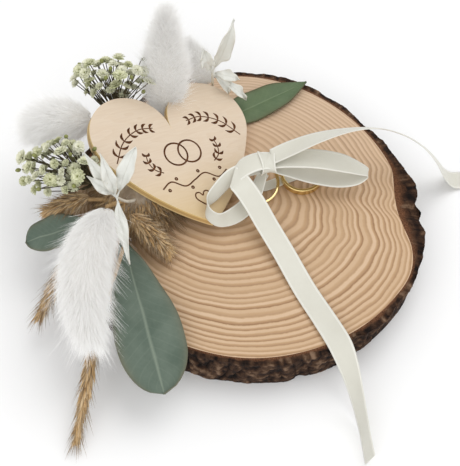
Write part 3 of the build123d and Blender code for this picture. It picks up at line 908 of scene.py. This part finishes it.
for place, root, fork, middle, spread, flowers, buds in sprays:
    root, fork, middle = mm(*root), mm(*fork), mm(*middle)
    ends, twigs = [], [stalk("twig", [root, root.lerp(fork, 0.5) + mm(-1, 0, 1), fork], 0.9, 0.8)]
    for n in range(flowers + buds):
        height = 1 - 2 * (n + 0.5) / (flowers + buds)
        turn = n * math.pi * (3 - math.sqrt(5))
        ring = math.sqrt(1 - height * height)
        fill = dice.uniform(0.25, 1.0) ** 0.5 * (1.22 if dice.random() < 0.12 else 1.0)
        wide, deep, tall = spread
        offset = Vector((wide * ring * math.cos(turn), deep * ring * math.sin(turn), tall * height))
        end = middle + offset * MM * fill
        aim = (end - fork).normalized()
        tilt = Vector([dice.gauss(0, 0.35) for _ in range(3)])
        ends.append((end, (aim + tilt + Vector((0, -0.25, 0.35)) * dice.random()).normalized()))
        halfway = fork.lerp(end, 0.45) + Vector([dice.uniform(-2, 2) * MM for _ in range(3)])
        twigs.append(stalk("twig", [fork, halfway, end - aim * 0.5 * MM], 0.36, 0.6, 5, 7))
    wires = join_pieces("gypsophila_twigs_" + place, twigs)
    wires.data.materials.append(dark_twig)
    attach(wires, "holder")
    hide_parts("gypsophila_" + place + "_stems")
    dice.shuffle(ends)
    blooms = strew("blooms", floret, [end - aim * 0.4 * MM for end, aim in ends[:flowers]],
                   [aim for _, aim in ends[:flowers]], [dice.uniform(2.2, 3.3) * MM for _ in range(flowers)],
                   [dice.uniform(1.8, 3.4) * MM for _ in range(flowers)])
    closed = strew("closed_buds", bud, [end for end, _ in ends[flowers:]], [aim for _, aim in ends[flowers:]],
                   [2.6 * MM] * buds, [2.0 * MM] * buds)
    heads = join_pieces("gypsophila_flowers_" + place, [blooms, closed])
    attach(heads, "holder")
    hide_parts("gypsophila_" + place + "_florets")
bpy.data.objects.remove(floret)
bpy.data.objects.remove(bud)

# ---- Ruscus. Two sprigs of bleached ruscus: stiff white stems with narrow papery leaves that taper to a
# point. One stands behind the heart and one in front of the bunny tail.
bleached_leaf = leaf_finish("bleached_ruscus", 0.55, (0.78, 0.785, 0.745), (0.69, 0.695, 0.645),
                            (0.62, 0.61, 0.54), (0.74, 0.71, 0.61), 3.0, 2.0)
bleached_stem = stem_finish("bleached_stem", 0.6, (0.52, 0.46, 0.36), (0.82, 0.79, 0.70))
slim_leaf = [(0, 0.1), (0.12, 0.4), (0.38, 1.0), (0.62, 0.82), (0.82, 0.4), (0.94, 0.13), (1, 0.0)]
blunt_leaf = [(0, 0.15), (0.14, 0.55), (0.4, 1.0), (0.68, 0.95), (0.86, 0.65), (0.95, 0.35), (1, 0.0)]
# Each leaf: its tip, how far it is rolled, its width, its outline, and where it leaves the fork.
ruscus = [
    ("back", [(-36, 20, 23), (-24, 45, 24), (-15.5, 61.5, 26), (-14.5, 63, 41)], [
        ((-18, 64, 55.5), 60, 6.0, blunt_leaf, 0.2), ((-4, 66, 73), 75, 7.5, slim_leaf, 0.12),
        ((-1.5, 62, 37), 30, 5.5, slim_leaf, 0.1), ((1.5, 58.5, 26), 20, 4.5, slim_leaf, 0.3),
        ((-7, 60, 29), 30, 4.0, slim_leaf, 0.15)]),
    ("front", [(-46, -3, 32), (-50.5, -8.5, 38), (-54, -12, 46)], [
        ((-67, 0, 62), 30, 5.0, slim_leaf, 0.15), ((-59.5, -3.5, 66), 60, 6.0, slim_leaf, 0.1),
        ((-45.0, 0.5, 65), 55, 6.5, blunt_leaf, 0.15), ((-47.5, -40, 37), 35, 5.0, slim_leaf, 0.05),
        ((-66, -7, 55), 40, 5.0, slim_leaf, 0.15)]),
]
for place, route, tips in ruscus:
    fork = mm(*route[-1])
    blades = []
    for n, (tip, roll, width, marks, foot) in enumerate(tips):
        tip = mm(*tip)
        face = Vector((0.25 * math.sin(n * 2.1), -math.sin(math.radians(roll)), math.cos(math.radians(roll))))
        blades.append(leaf_blade("ruscus_blade", fork.lerp(tip, foot), tip, width, marks, face, 2.0 + n * 0.4,
                                 0.5, 1.1, 0.3, (8, 26)))
        foot_route = [fork, fork.lerp(tip, foot / 2), fork.lerp(tip, foot + 0.05)]
        blades.append(stalk("leaf_foot", foot_route, 0.55, 0.5, 6, 4))
    sprig = join_pieces("ruscus_sprig_" + place, blades)
    sprig.data.materials.append(bleached_leaf)
    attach(sprig, "holder")
    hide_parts("ruscus_" + place + "_leaves")
    twig = stalk("ruscus_twig_" + place, [mm(*point) for point in route], 0.75, 0.8, 8, 16)
    twig.data.materials.append(bleached_stem)
    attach(twig, "holder")
    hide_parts("ruscus_" + place + "_stem")

# ---- The heart. Sawn from birch plywood and varnished, so its edges are yellow and softly rounded. The
# design on its face is burned in with a hot point: two linked rings, two laurel sprigs and a small vine.
board_place = Matrix.Translation(mm(-12, -12, 27))
for degrees, axis in ((26, "Z"), (15.6, "X"), (19.2, "Y")):
    board_place = board_place @ Matrix.Rotation(math.radians(degrees), 4, axis)
heart = cad_copy("heart_plaque", "heart_board")
heart.data.transform(board_place.inverted())
only_select(heart)
rounding = heart.modifiers.new("worn_edge", "BEVEL")
rounding.width = 0.7 * MM
rounding.segments = 4
rounding.limit_method = "ANGLE"
rounding.angle_limit = math.radians(60)
bpy.ops.object.modifier_apply(modifier="worn_edge")


stroke_height = 0.14  # the middle of every stroke runs this far above the board's face, in millimetres


def burn(points, thick, leaf_shaped=False, steps=9):
    """One stroke of the hot point: a round groove along points on the board's face, in millimetres."""
    stroke = stalk("stroke", [mm(x, y, stroke_height) for x, y in points], thick, 0.9, 8, steps)
    if leaf_shaped:
        line = smooth_line([mm(x, y, stroke_height) for x, y in points], steps)
        for vertex in stroke.data.vertices:
            nearest = min(range(steps + 1), key=lambda n: (line[n] - vertex.co).length)
            swell = 0.35 + 0.85 * math.sin(math.pi * min(nearest / steps * 1.05, 1))
            vertex.co = line[nearest] + (vertex.co - line[nearest]) * swell
    return stroke


def sprig(points, leaves, long, mirror=1):
    """A burned stem with leaf strokes in pairs along it."""
    points = [(x * mirror, y) for x, y in points]
    strokes = [burn(points, 0.34, steps=14)]
    line = smooth_line([mm(x, y, 0) for x, y in points], 60)
    for n in range(leaves):
        place = int(6 + 50 * n / (leaves - 1))
        at = line[place] / MM
        run = (line[min(place + 1, 60)] - line[place - 1]).normalized()
        for hand in (1, -1):
            out = Vector((-run.y, run.x)) * hand
            size = long * (1 - 0.4 * n / leaves)
            tip = (at.x + (run.x * 0.75 + out.x * 0.7) * size, at.y + (run.y * 0.75 + out.y * 0.7) * size)
            bow = (at.x + (run.x * 0.25 + out.x * 0.5) * size, at.y + (run.y * 0.25 + out.y * 0.5) * size)
            strokes.append(burn([(at.x, at.y), bow, tip], 0.62, True, 8))
    return strokes


def round_mark(x, y, radius, thick, around=28):
    bpy.ops.mesh.primitive_torus_add(major_radius=radius * MM, minor_radius=thick * MM, major_segments=around,
                                     minor_segments=8, location=mm(x, y, stroke_height))
    mark = bpy.context.object
    mark.data.transform(mark.matrix_world)
    mark.matrix_world = Matrix()
    return mark


strokes = [round_mark(-3.6, 36, 5.6, 0.5), round_mark(3.6, 36, 5.6, 0.5)]
for mirror in (1, -1):
    strokes += sprig([(-33, 38), (-26, 47), (-17, 51.5), (-9, 51)], 7, 4.6, mirror)
    strokes += sprig([(-13.5, 28.5), (-17, 31), (-18.5, 35), (-18, 39)], 4, 3.4, mirror)
vine = [(-17.5, 21), (-12, 23.5), (-6, 20), (0, 22), (6, 24), (12, 20.5), (17.5, 23)]
strokes += [burn(vine, 0.42, steps=60)]
for x, y in ((-14.5, 19.8), (-9, 24.4), (-3, 18.6), (3, 25.6), (9, 19.8), (14.5, 24.6)):
    strokes += [round_mark(x, y, 0.55, 0.42, 10)]
for mirror in (-1, 1):
    half_heart = [(0, 8.6), (3.6 * mirror, 12.6), (3.2 * mirror, 15.2), (1.3 * mirror, 15.4), (0, 13.6)]
    strokes += [burn(half_heart, 0.42, steps=14)]
burnt, tree, shader = finish_material("burned_groove", 0.85, Specular_IOR_Level=0.15)
coarse, fine = add_speckle(tree, 700, 1.8)
scorched = blend_colours(tree, coarse, (0.045, 0.016, 0.007), (0.20, 0.085, 0.036))
tree.links.new(scorched, shader.inputs["Base Color"])
raise_surface(tree, shader, fine, 0.6, 0.0002)
marks = join_pieces("burned_marks", strokes)
marks.data.materials.clear()
marks.data.materials.append(burnt)

plywood, tree, shader = finish_material("varnished_plywood", 0.42, Specular_IOR_Level=0.4)
board = node(tree, "Attribute")
board.attribute_name = "board"
stretched = node(tree, "VectorMath", i0=board.outputs["Vector"], i1=(18, 260, 60))
stretched.operation = "MULTIPLY"
grain = node(tree, "TexNoise", Vector=stretched.outputs[0], Scale=5.0, Detail=6.0, Roughness=0.65)
figure = node(tree, "VectorMath", i0=board.outputs["Vector"], i1=(14, 60, 14))
figure.operation = "MULTIPLY"
cathedral = node(tree, "TexNoise", Vector=figure.outputs[0], Scale=1.6, Detail=2.0)
figure_lines = math_node(tree, "FRACT", math_node(tree, "MULTIPLY", cathedral.outputs[0], 9.0))
face = blend_colours(tree, grain.outputs[0], (0.61, 0.49, 0.37), (0.73, 0.615, 0.48))
face = blend_colours(tree, math_node(tree, "MULTIPLY", figure_lines, 0.16), face, (0.55, 0.38, 0.22))
depth = node(tree, "SeparateXYZ", Vector=board.outputs["Vector"])
down = math_node(tree, "MULTIPLY", depth.outputs["Z"], -250.0)
plies = ramp(tree, down, [(0.0, (0.80, 0.62, 0.30)), (0.28, (0.74, 0.53, 0.22)), (0.36, (0.50, 0.30, 0.11)),
                          (0.44, (0.60, 0.40, 0.16)), (0.62, (0.60, 0.39, 0.16)), (0.68, (0.50, 0.30, 0.11)),
                          (0.76, (0.76, 0.56, 0.26)), (1.0, (0.80, 0.62, 0.30))])
# Darker and yellower towards the tip.
towards_tip = node(tree, "MapRange", Value=depth.outputs["Y"])
towards_tip.inputs["From Min"].default_value = 0.0
towards_tip.inputs["From Max"].default_value = 0.032
towards_tip.inputs["To Min"].default_value = 0.85
towards_tip.inputs["To Max"].default_value = 0.0
face = blend_colours(tree, towards_tip.outputs[0], face, (0.59, 0.425, 0.195))
on_face = node(tree, "Attribute")
on_face.attribute_name = "face"
tree.links.new(blend_colours(tree, on_face.outputs["Fac"], plies, face), shader.inputs["Base Color"])
raise_surface(tree, shader, grain.outputs[0], 0.18, 0.0002)
heart.data.materials.append(plywood)
only_select(heart)
cut = heart.modifiers.new("burn_in", "BOOLEAN")
cut.object = marks
cut.operation = "DIFFERENCE"
cut.solver = "EXACT"
cut.use_self = True
cut.material_mode = "TRANSFER"
bpy.ops.object.modifier_apply(modifier="burn_in")
bpy.data.objects.remove(marks)
lay = heart.data.attributes.new("board", "FLOAT_VECTOR", "POINT")
for vertex, mark in zip(heart.data.vertices, lay.data):
    mark.vector = vertex.co
flat_share = heart.data.attributes.new("face", "FLOAT", "CORNER")
for face in heart.data.polygons:
    for corner in face.loop_indices:
        flat_share.data[corner].value = 1.0 if abs(face.normal.z) > 0.9 else 0.0
heart.data.transform(board_place)
only_select(heart)
bpy.ops.object.shade_smooth_by_angle(angle=math.radians(35))
board_up = (board_place.to_3x3() @ Vector((0, 0, 1))).normalized()
for face in heart.data.polygons:
    if abs(face.normal.dot(board_up)) > 0.999:
        face.use_smooth = False
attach(heart, "holder")
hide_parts("heart_plaque")

# ---- The rings. A slim band and a wider one, both plain yellow gold with softly rounded edges, polished,
# with the fine hairlines that handling leaves. The ribbon holds them on the wood.
for ring_name, colour, roughness in (("slim", (0.88, 0.70, 0.34), 0.13), ("wide", (0.85, 0.66, 0.30), 0.16)):
    gold, tree, shader = finish_material("polished_gold_" + ring_name, roughness, Metallic=1.0)
    coarse, fine = add_speckle(tree, 500, 1.4, (1, 1, 6))
    rich = tuple(channel * 0.86 for channel in colour)
    tree.links.new(blend_colours(tree, coarse, rich, colour), shader.inputs["Base Color"])
    tree.links.new(math_node(tree, "ADD", math_node(tree, "MULTIPLY", fine, 0.1), roughness - 0.05),
                   shader.inputs["Roughness"])
    raise_surface(tree, shader, fine, 0.06, 0.0001)
    repaint(["ring_" + ring_name], gold)

# ---- The ribbon. One satin ribbon 10 mm wide, ivory and a little see-through, with a firmer woven edge on
# each side. It is tied through both rings in a bow with two loops and two long tails.
satin, tree, shader = finish_material("ivory_satin", 0.36, Specular_IOR_Level=0.45, Sheen_Weight=0.25,
                                      Sheen_Roughness=0.35, Anisotropic=0.35)
thread = node(tree, "Attribute")
thread.attribute_name = "thread"
warp = node(tree, "SeparateXYZ", Vector=thread.outputs["Vector"])
across_threads = math_node(tree, "SINE", math_node(tree, "MULTIPLY", warp.outputs["X"], 26000.0))
along_threads = math_node(tree, "SINE", math_node(tree, "MULTIPLY", warp.outputs["Y"], 14000.0))
weave = math_node(tree, "MULTIPLY", math_node(tree, "ADD", across_threads, along_threads), 0.5)
hem = math_node(tree, "ABSOLUTE", warp.outputs["Z"])
selvedge = ramp(tree, hem, [(0.80, (0, 0, 0)), (0.88, (1, 1, 1)), (1.0, (0.8, 0.8, 0.8))])
coarse, fine = add_speckle(tree, 60, 1.5)
cloth = blend_colours(tree, coarse, (0.58, 0.565, 0.49), (0.64, 0.63, 0.56))
cloth = blend_colours(tree, math_node(tree, "MULTIPLY", weave, 0.10), cloth, (0.55, 0.54, 0.42))
cloth = blend_colours(tree, math_node(tree, "MULTIPLY", selvedge, 0.55), cloth, (0.84, 0.83, 0.77))
tree.links.new(cloth, shader.inputs["Base Color"])
# A slight glow is painted light: an emission that stands for the light passing through the thin cloth and
# lifts its shaded side.
tree.links.new(cloth, shader.inputs["Emission Color"])
shader.inputs["Emission Strength"].default_value = 0.07
raise_surface(tree, shader, weave, 0.25, 0.00006)


def make_cloth(strip, marks, thick, offset):
    """Lays the threads along a strip, and gives it the cloth's thickness and finish."""
    lay = strip.data.attributes.new("thread", "FLOAT_VECTOR", "POINT")
    for mark, value in zip(lay.data, marks):
        mark.vector = value
    only_select(strip)
    cloth = strip.modifiers.new("cloth_thickness", "SOLIDIFY")
    cloth.thickness = thick * MM
    cloth.offset = offset
    bpy.ops.object.modifier_apply(modifier="cloth_thickness")
    bpy.ops.object.shade_smooth()
    strip.data.materials.append(satin)


def band(name, stations, count, width=10, thick=0.25, across=10):
    """A strip of ribbon through stations: x, y, z, the way its width points, and its share of full width."""
    middle = smooth_line([mm(*station[:3]) for station in stations], count)
    ways = smooth_line([Vector(station[3:6]).normalized() for station in stations], count)
    shares = smooth_line([Vector((station[6], station[7], 0)) for station in stations], count)
    bpy.ops.mesh.primitive_grid_add(x_subdivisions=across, y_subdivisions=count, size=1)
    strip = bpy.context.object
    strip.name = name
    travelled = [0.0]
    for a, b in zip(middle, middle[1:]):
        travelled.append(travelled[-1] + (b - a).length)
    marks = []
    for vertex in strip.data.vertices:
        s, step = vertex.co.x * 2, round((vertex.co.y + 0.5) * count)
        forward = (middle[min(step + 1, count)] - middle[max(step - 1, 0)]).normalized()
        way = ways[step].normalized()
        lift = way.cross(forward).normalized()
        half = width * MM / 2 * shares[step].x
        crown = shares[step].y * MM * (1 - s * s)
        vertex.co = middle[step] + way * (half * s) + lift * crown
        marks.append((s * half, travelled[step], s))
    make_cloth(strip, marks, thick, 0)
    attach(strip, "holder")
    return strip


# Each station: place, the way the width points, share of the full width, and how far the middle is crowned.
strand = band("ribbon_through_rings", [
    (10.4, 11.9, 31.8, -0.41, 0.91, 0, 0.5, 0.3),
    (8.3, 10.9, 26.0, -0.41, 0.91, 0, 0.5, 0.4),
    (8.3, 10.9, 21.6, -0.41, 0.91, 0, 0.5, 0.3),
    (11.5, 12.3, 20.45, -0.41, 0.91, 0, 0.5, 0),
    (19.0, 15.7, 20.45, -0.41, 0.91, 0, 0.5, 0),
    (24.5, 18.1, 20.9, -0.41, 0.91, 0, 0.5, 0),
    (28.0, 19.7, 25.5, -0.41, 0.91, 0, 0.5, 0.3),
], 40)
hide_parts("ribbon_strand")

turned_back = band("ribbon_loop_by_heart", [
    (8, 13.5, 33.6, -0.3, 0.75, 0.5, 0.6, 0.3),
    (1, 11.5, 33.8, -0.35, 0.6, 0.7, 0.7, 0.4),
    (-6, 7, 34.0, -0.35, 0.5, 0.8, 0.75, 0.4),
    (-12.5, -1.5, 34.4, -0.2, 0.45, 0.87, 0.75, 0.4),
    (-16.0, -6.8, 34.4, 0.05, 0.4, 0.9, 0.62, 0.3),
    (-15.0, -11.2, 32.2, 0.25, 0.4, 0.88, 0.6, 0.2),
    (-10.5, -12.6, 29.4, 0.1, 0.55, 0.83, 0.65, 0.2),
    (-4.5, -9.0, 27.0, -0.35, 0.65, 0.67, 0.75, 0.3),
    (1.5, -3.5, 27.0, -0.65, 0.7, 0.3, 0.75, 0.3),
    (5.6, 3.0, 28.6, -0.7, 0.68, 0.15, 0.68, 0.3),
    (8.0, 8.4, 30.6, -0.6, 0.75, 0.1, 0.6, 0.2),
    (9.6, 12.4, 33.2, -0.45, 0.85, 0.1, 0.5, 0.2),
], 84)
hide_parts("ribbon_loop_left")

right_loop = band("ribbon_loop_over_rings", [
    (12.5, 14.6, 36.4, -0.14, 0.99, 0.0, 0.85, 0.5),
    (20, 14.6, 38.0, -0.14, 0.98, 0.05, 0.95, 0.7),
    (32, 14.1, 38.8, -0.10, 0.98, 0.05, 1.05, 0.9),
    (44, 13.4, 36.8, -0.04, 0.98, 0.05, 1.03, 0.9),
    (52, 12.4, 34.0, 0.05, 0.97, 0.1, 0.72, 0.6),
    (56.6, 11.4, 31.4, 0.12, 0.97, 0.15, 0.42, 0.2),
    (52, 10.4, 29.0, 0.10, 0.97, 0.1, 0.72, 0.1),
    (43, 11.0, 28.4, 0.02, 0.98, 0.1, 1, -0.4),
    (31, 11.6, 30.2, -0.06, 0.98, 0.05, 1, -0.5),
    (20, 13.0, 32.6, -0.12, 0.98, 0.05, 0.9, -0.4),
    (12.5, 14.4, 33.8, -0.14, 0.99, 0.0, 0.85, -0.2),
], 90)
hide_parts("ribbon_loop_right")

folded = band("ribbon_to_fold", [
    (13, 14.8, 36.4, -0.14, 0.99, 0.0, 0.95, 0.5),
    (7, 13.6, 37.4, -0.16, 0.98, 0.0, 1, 0.5),
    (1, 11.0, 37.0, -0.2, 0.97, 0.02, 1.02, 0.3),
    (-4.6, 6.2, 35.9, 0.2, 0.98, 0.05, 1.16, 0),
], 24)
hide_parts("ribbon_fold")

front_tail = band("ribbon_tail_over_front", [
    (-4.6, 6.2, 36.3, 0.2, 0.98, 0.05, 1.16, 0),
    (-0.2, 1.0, 36.2, 0.75, 0.66, 0.05, 1.02, 0.2),
    (5.0, -5.5, 32.5, 0.88, 0.46, 0.05, 1, 0.4),
    (10.8, -14, 27.2, 0.9, 0.44, 0.0, 1, 0.4),
    (18, -26, 23.4, 0.9, 0.42, -0.02, 1, 0.3),
    (26.5, -43, 21.5, 0.9, 0.42, 0.02, 1, 0.2),
    (35, -59, 22.1, 0.86, 0.40, 0.12, 1, 0.1),
    (40.6, -70.5, 22.4, 0.78, 0.36, 0.36, 1, 0.1),
    (44.6, -79.5, 17.2, 0.58, 0.27, 0.70, 1, 0.1),
    (47.4, -87.5, 10.6, 0.42, 0.16, 0.86, 1, 0.1),
    (49.4, -96, 6.2, 0.32, 0.08, 0.93, 1, 0.1),
    (50.6, -104.5, 5.1, 0.27, 0.04, 0.95, 1, 0.05),
    (51.6, -113.2, 5.0, 0.30, 0.04, 0.94, 1, 0),
], 150)
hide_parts("ribbon_tail_front")

side_tail = band("ribbon_tail_over_side", [
    (12.5, 15.6, 38.0, -0.14, 0.97, 0.1, 0.8, 0.3),
    (22, 18.2, 41.6, -0.16, 0.93, -0.15, 0.95, 0.4),
    (34, 20.4, 46.4, -0.15, 0.84, -0.42, 1, 0.5),
    (48, 21.6, 50.2, -0.06, 0.72, -0.66, 1, 0.4),
    (61, 22.4, 50.0, 0.0, 0.64, -0.76, 1, 0.3),
    (73, 23.4, 43.5, 0.05, 0.66, -0.74, 1, 0.3),
    (83, 24.6, 33.0, 0.10, 0.70, -0.70, 1, 0.2),
    (90.5, 25.8, 21.0, 0.12, 0.78, -0.60, 1, 0.2),
    (96, 27.0, 9.6, 0.1, 0.90, -0.35, 1, 0.1),
    (101, 28.4, 2.6, 0.0, 0.98, -0.1, 1, 0.1),
    (106.5, 29.6, 0.6, -0.1, 0.99, 0.0, 1, 0),
], 120)
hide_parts("ribbon_tail_side")

# The knot is a short turn of the same ribbon pulled tight round the rest, so it creases towards one side.
knot_turns = 48
knot_steps = 16
bpy.ops.mesh.primitive_circle_add(vertices=knot_turns, radius=1, location=(0, 0, 0))
knot = bpy.context.object
knot.name = "ribbon_knot_turn"
bpy.ops.object.mode_set(mode="EDIT")
bpy.ops.mesh.select_all(action="SELECT")
for _ in range(knot_steps):
    bpy.ops.mesh.extrude_region_move(TRANSFORM_OT_translate={"value": (0, 0, 1)})
bpy.ops.object.mode_set(mode="OBJECT")
knot_place = Matrix.Translation(mm(11, 14.5, 35.4)) @ Matrix.Rotation(math.radians(8), 4, "Z")
marks = []
for vertex in knot.data.vertices:
    angle = math.atan2(vertex.co.y, vertex.co.x)
    s = vertex.co.z / knot_steps * 2 - 1
    pinch = 1 - 0.16 * (1 - s * s) + 0.05 * s * s
    crease = 0.35 * math.exp(-(((s - 0.5 * math.cos(angle) + 0.25) / 0.16) ** 2))
    crease += 0.22 * math.exp(-(((s + 0.6 * math.cos(angle) - 0.4) / 0.13) ** 2))
    reach_y, reach_z = 6.3 * pinch - crease, 3.3 * pinch - crease
    reach_x = s * (3.3 + 0.5 * math.sin(angle * 2))
    around = Vector((reach_x, reach_y * math.cos(angle), reach_z * math.sin(angle)))
    vertex.co = knot_place @ (around * MM)
    marks.append((s * 5 * MM, angle * 5 * MM, s))
face_outward(knot)
make_cloth(knot, marks, 0.35, -1)
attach(knot, "holder")
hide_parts("ribbon_knot")
